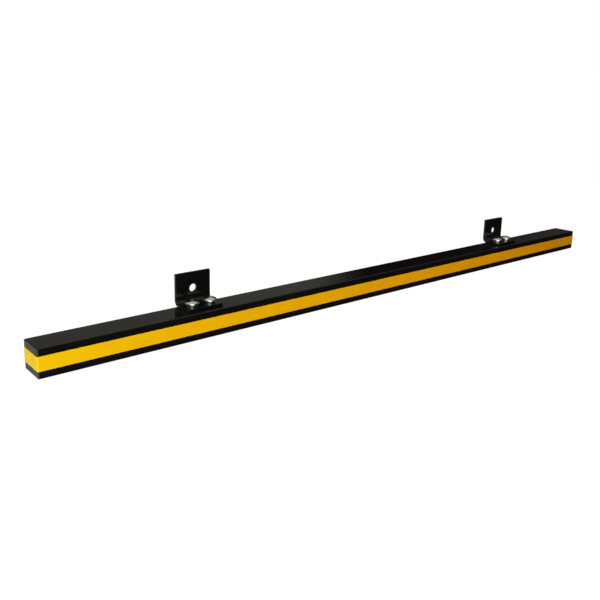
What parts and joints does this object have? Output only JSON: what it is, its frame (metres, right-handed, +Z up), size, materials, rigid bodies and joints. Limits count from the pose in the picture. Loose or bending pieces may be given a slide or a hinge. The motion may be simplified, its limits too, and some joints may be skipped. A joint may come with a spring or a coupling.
{
  "type": "parking wheel stop",
  "caption": "Long hollow black bar with a yellow band on its front and ends, held by bent plate brackets that are bolted on top and stand up behind it.",
  "frame": {"origin": "middle of the bar's flat underside", "axes": "+X along the bar, the banded front faces -Y, the brackets stand behind the bar towards +Y, +Z up"},
  "size_m": [1.8216, 0.0738, 0.13],
  "materials": {
    "black_paint": "gloss black paint",
    "black_plastic": "gloss moulded plastic",
    "yellow_tape": "satin retroreflective film",
    "zinc_plate": "bright zinc plate"
  },
  "bodies": {
    "root": {"bar_tube": "black_paint", "end_cap_left": "black_plastic", "end_cap_right": "black_plastic", "reflective_band": "yellow_tape", "bracket_left": "black_paint", "bracket_right": "black_paint", "round_head_bolt_left_a": "zinc_plate", "round_head_bolt_left_b": "zinc_plate", "round_head_bolt_right_a": "zinc_plate", "round_head_bolt_right_b": "zinc_plate", "flat_washer_left_a": "zinc_plate", "flat_washer_left_b": "zinc_plate", "flat_washer_right_a": "zinc_plate", "flat_washer_right_b": "zinc_plate", "spring_washer_left_a": "zinc_plate", "spring_washer_left_b": "zinc_plate", "spring_washer_right_a": "zinc_plate", "spring_washer_right_b": "zinc_plate", "threaded_insert_left_a": "zinc_plate", "threaded_insert_left_b": "zinc_plate", "threaded_insert_right_a": "zinc_plate", "threaded_insert_right_b": "zinc_plate"}
  },
  "joints": []
}
